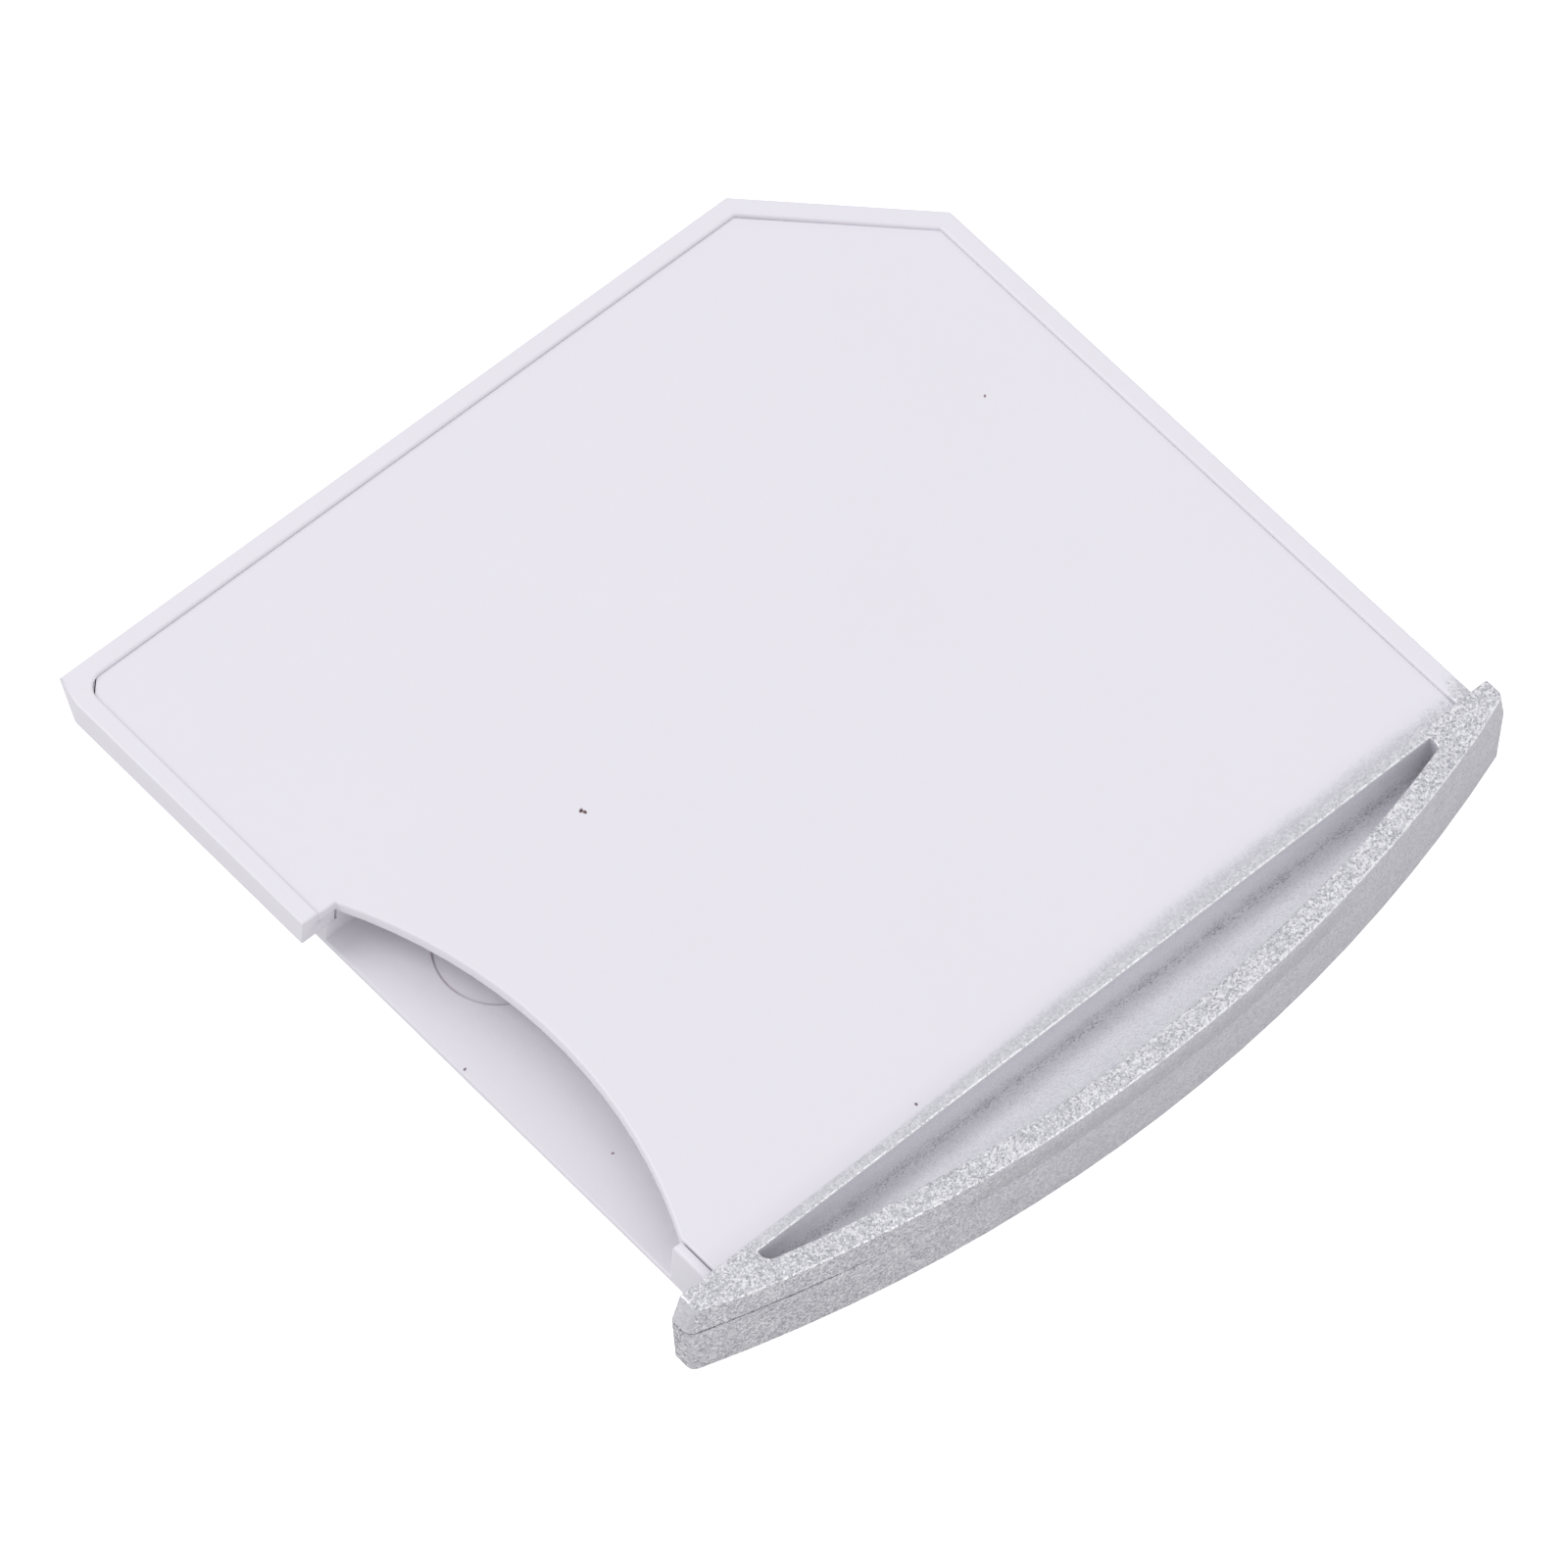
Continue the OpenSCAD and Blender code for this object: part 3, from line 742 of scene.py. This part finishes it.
class ADAPTER_OT_stage(bpy.types.Operator):
    """Makes the camera, the lights and the floor"""

    bl_idname = "adapter.stage"
    bl_label = "Stage"

    def execute(self, context):
        look = context.scene.adapter_stage
        self.camera(context, look)
        self.lights(context, look)
        self.ground(look)
        return {"FINISHED"}

    def camera(self, context, look):
        aim = Vector(AIM) * MM
        back = Vector((math.sin(look.azimuth) * math.cos(look.elevation),
                       -math.cos(look.azimuth) * math.cos(look.elevation),
                       math.sin(look.elevation)))
        right = Vector((0, 0, 1)).cross(back).normalized()
        up = back.cross(right)
        turned = right * math.cos(look.roll) + up * math.sin(look.roll)
        data = bpy.data.cameras.new("Camera")
        data.lens, data.sensor_width = look.lens, 36
        data.clip_start, data.clip_end = 10 * MM, 10000 * MM
        camera = bpy.data.objects.new("Camera", data)
        axes = Matrix((turned, back.cross(turned), back)).transposed()
        camera.matrix_world = Matrix.Translation(aim + back * look.distance) @ axes.to_4x4()
        context.scene.collection.objects.link(camera)
        context.scene.camera = camera

    def lights(self, context, look):
        context.scene.view_settings.view_transform = "Standard"
        world = bpy.data.worlds.new("Even room")
        world.use_nodes = True
        air = world.node_tree.nodes["Background"]
        air.inputs["Color"].default_value = ROOM_TINT
        air.inputs["Strength"].default_value = look.room
        context.scene.world = world
        for (name, place, size), power in zip(LAMPS, (look.key, look.glint)):
            data = bpy.data.lights.new(name, "AREA")
            data.shape, data.size, data.energy = "DISK", size, power
            lamp = bpy.data.objects.new(name, data)
            lamp.location = place
            lamp.rotation_euler = Vector(place).to_track_quat("Z", "Y").to_euler()
            context.scene.collection.objects.link(lamp)

    def ground(self, look):
        bpy.ops.object.select_all(action="DESELECT")
        bpy.ops.mesh.primitive_plane_add(size=FLOOR_SIZE, location=(0, 0, -FLOOR_DROP * MM))
        floor = bpy.context.active_object
        floor.name = "Floor"
        bpy.ops.object.transform_apply(location=True, rotation=False, scale=False)
        material, tree, shader = principled("Pale floor")
        shader.inputs["Base Color"].default_value = rgba(look.floor)
        shader.inputs["Roughness"].default_value = 0.9
        shader.inputs["Emission Color"].default_value = (1, 1, 1, 1)
        seen = node(tree, "LightPath").outputs["Is Camera Ray"]
        link(tree, span(tree, seen, 0, 1, FLOOR_GLOW[0], FLOOR_GLOW[1], smooth=False),
             shader.inputs["Emission Strength"])
        floor.data.materials.append(material)


class ADAPTER_OT_rim_frame(bpy.types.Operator):
    """Makes the raised rim with its softened edges"""

    bl_idname = "adapter.rim_frame"
    bl_label = "Rim frame"

    def execute(self, context):
        edge = context.scene.adapter_shell.rim_edge
        high = corners_mm("rim_frame")[1]
        piece = work_copy("rim_frame", "rim_frame_moulding")

        def width(middle, line, length):
            if middle.z > high.z - NEAR:
                return edge
            outer = abs(line.z) > ALONG and length > 0.3 and middle.y < high.y - 1
            return edge * 0.6 if outer else 0

        round_edges(piece, width)
        settle(piece, [white_plastic()], HOUSING, "white_plastic", "rim_frame")
        return {"FINISHED"}


class ADAPTER_OT_cover_plate(bpy.types.Operator):
    """Makes the cover plate with its curved thumb cut-out"""

    bl_idname = "adapter.cover_plate"
    bl_label = "Cover plate"

    def execute(self, context):
        edge = context.scene.adapter_shell.plate_edge
        low, high = corners_mm("cover_plate")
        middle_x, half = (low.x + high.x) / 2, (high.x - low.x) / 2
        piece = work_copy("cover_plate", "cover_plate_moulding")
        only(piece)
        bpy.ops.object.mode_set(mode="EDIT")
        bpy.ops.mesh.select_all(action="SELECT")
        bpy.ops.transform.resize(
            value=(1 + GAP_TAKEN / half, 1 + GAP_TAKEN / (high.y - low.y), 1),
            center_override=(middle_x, low.y, 0))
        bpy.ops.object.mode_set(mode="OBJECT")

        def width(middle, line, length):
            inside = abs(middle.x - middle_x) < half - 0.1 and middle.y < high.y - 0.1
            return edge * (1 if middle.z > high.z - NEAR else 0.5) * (1 if inside else 0.4)

        round_edges(piece, width, 4)
        settle(piece, [white_plastic()], HOUSING, "white_plastic", "cover_plate")
        return {"FINISHED"}


class ADAPTER_OT_lower_shell(bpy.types.Operator):
    """Makes the lower shell: slot floor, post, contact windows and bevelled sides"""

    bl_idname = "adapter.lower_shell"
    bl_label = "Lower shell"

    def execute(self, context):
        edge = context.scene.adapter_shell.floor_edge
        low, high = corners_mm("base_shell")
        lip_back = corners_mm("lip_upper")[1].y
        piece = work_copy("base_shell", "lower_shell_moulding")

        def width(middle, line, length):
            if length < 0.25 or middle.y < lip_back - NEAR:
                return 0
            if middle.z > high.z - NEAR and middle.x < low.x + 0.4:
                return POST_EDGE
            outside = middle.x < low.x + 0.3 or middle.x > high.x - 0.7
            return edge if middle.z < low.z + NEAR or outside else 0

        round_edges(piece, width, 2)
        settle(piece, [white_plastic()], HOUSING, "white_plastic", "base_shell")
        return {"FINISHED"}


class ADAPTER_OT_lip(bpy.types.Operator):
    """Makes the two halves of the pull lip, with the fingernail pocket"""

    bl_idname = "adapter.lip"
    bl_label = "Pull lip"

    def execute(self, context):
        look = context.scene.adapter_lip
        self.upper(look)
        self.lower(look)
        return {"FINISHED"}

    def upper(self, look):
        high = corners_mm("lip_upper")[1]
        parting = corners_mm("lip_lower")[1].z
        piece = work_copy("lip_upper", "lip_upper_moulding")

        def on_line(p):
            return parting + NEAR < p.z < parting + 0.06 and p.y < high.y - 0.1

        only(piece)
        bpy.ops.object.mode_set(mode="EDIT")
        select_points(piece, lambda p: p.z > high.z - NEAR and abs(p.x) > high.x - 0.6)
        bpy.ops.transform.resize(value=((high.x - look.draft) / high.x, 1, 1),
                                 center_override=(0, 0, 0))
        select_points(piece, lambda p: on_line(p) and p.x > CLOSED_FROM)
        bpy.ops.transform.translate(value=(0, 0, -CLOSED_BY))
        select_points(piece, lambda p: on_line(p) and p.x < OPEN_TO)
        bpy.ops.transform.translate(value=(0, 0, OPEN_BY))
        bpy.ops.object.mode_set(mode="OBJECT")

        def width(middle, line, length):
            if middle.z > high.z - NEAR:
                return look.top_edge
            pocket_end = POCKET_ENDS[0] < abs(middle.x) < POCKET_ENDS[1]
            if abs(line.z) > ALONG and pocket_end and middle.y < high.y - 0.4:
                return POCKET_NOSE
            corner = abs(middle.x) > high.x - 0.4 and abs(line.z) > 0.7 and length > 0.3
            return look.top_edge if corner else 0

        round_edges(piece, width)
        settle(piece, [silver_lacquer(), pocket_silver_with_painted_light()], HOUSING, "silver_paint", "lip_upper")
        # The pocket's ramp and wall get the lacquer that is painted lighter with depth, as
        # painted light
        for face in piece.data.polygons:
            ramp = 0.7 < face.normal.z < 0.95 and face.normal.y > 0.2 and face.area > 1e-7
            wall = face.normal.y < -0.9 and face.center.y > (high.y - 0.35) * MM
            face.material_index = 1 if ramp or wall else 0

    def lower(self, look):
        low, high = corners_mm("lip_lower")
        piece = work_copy("lip_lower", "lip_lower_moulding")
        only(piece)
        bpy.ops.object.mode_set(mode="EDIT")
        select_points(piece, lambda p: p.z < low.z + NEAR)
        bpy.ops.transform.resize(value=(1 - look.draft / (high.x - low.x), 1, 1),
                                 center_override=(high.x, 0, 0))
        bpy.ops.object.mode_set(mode="OBJECT")

        def width(middle, line, length):
            if middle.z < low.z + NEAR:
                return look.foot_edge
            corner = abs(middle.x) > high.x - 0.6 and abs(line.z) > 0.7 and length > 0.3
            return END_EDGE if corner else 0

        round_edges(piece, width, 4)
        settle(piece, [silver_lacquer()], HOUSING, "silver_paint", "lip_lower")


class ADAPTER_OT_leads(bpy.types.Operator):
    """Gives the leads their gold plating and the carrier its dark plastic"""

    bl_idname = "adapter.leads"
    bl_label = "Leads and carrier"

    def execute(self, context):
        look = context.scene.adapter_contacts
        gold = strip_metal("Gold plating", look.gold, 0.2)
        finishes = {"lead_" + line: gold for line in LINES}
        finishes["contact_carrier"] = dark_plastic()
        for name, material in finishes.items():
            materials = frame["nodes"][name].data.materials
            materials.clear()
            materials.append(material)
        return {"FINISHED"}


class ADAPTER_OT_fingers(bpy.types.Operator):
    """Makes the eight spring fingers with rounded bends"""

    bl_idname = "adapter.fingers"
    bl_label = "Spring fingers"

    def execute(self, context):
        look = context.scene.adapter_contacts
        gold = strip_metal("Gold plating", look.gold, 0.2)
        for line in LINES:
            piece = work_copy("finger_" + line, "finger_strip_" + line)
            round_edges(piece, lambda middle, way, length:
                        look.bend if abs(way.y) > ALONG else 0, 4, sharpest=3)
            settle(piece, [gold], FINGERS, "contact_gold", "finger_" + line)
        return {"FINISHED"}


class ADAPTER_OT_detent(bpy.types.Operator):
    """Makes the detent strip with its rounded bump"""

    bl_idname = "adapter.detent"
    bl_label = "Detent strip"

    def execute(self, context):
        look = context.scene.adapter_contacts
        piece = work_copy("detent_spring", "detent_strip")
        round_edges(piece, lambda middle, way, length:
                    look.bend * 0.5 if abs(way.z) > ALONG else 0, 3, sharpest=3)
        settle(piece, [strip_metal("Spring strip", look.steel, 0.05)], DETENT,
               "spring_steel", "detent_spring")
        return {"FINISHED"}


OPERATORS = (
    ADAPTER_OT_stage, ADAPTER_OT_rim_frame, ADAPTER_OT_cover_plate, ADAPTER_OT_lower_shell,
    ADAPTER_OT_lip, ADAPTER_OT_leads, ADAPTER_OT_fingers, ADAPTER_OT_detent,
)
LOOKS = {
    "adapter_shell": ShellLook, "adapter_lip": LipLook,
    "adapter_contacts": ContactLook, "adapter_stage": StageLook,
}


class ADAPTER_PT_panel(bpy.types.Panel):
    """Lists the pieces and their sizes and colours"""

    bl_idname = "ADAPTER_PT_panel"
    bl_label = "Card adapter"
    bl_space_type = "VIEW_3D"
    bl_region_type = "UI"
    bl_category = "Card adapter"

    def draw(self, context):
        for operator in OPERATORS:
            self.layout.operator(operator.bl_idname)
        for name, look in LOOKS.items():
            box = self.layout.box()
            for item in look.__annotations__:
                box.prop(getattr(context.scene, name), item)


def register():
    for look in LOOKS.values():
        bpy.utils.register_class(look)
    for name, look in LOOKS.items():
        setattr(bpy.types.Scene, name, PointerProperty(type=look))
    for each in (*OPERATORS, ADAPTER_PT_panel):
        bpy.utils.register_class(each)


def unregister():
    for each in (*reversed(OPERATORS), ADAPTER_PT_panel):
        bpy.utils.unregister_class(each)
    for name, look in LOOKS.items():
        delattr(bpy.types.Scene, name)
        bpy.utils.unregister_class(look)


def main():
    register()
    for operator in OPERATORS:
        getattr(bpy.ops.adapter, operator.bl_idname.split(".")[1])()


if __name__ == "__main__":
    main()
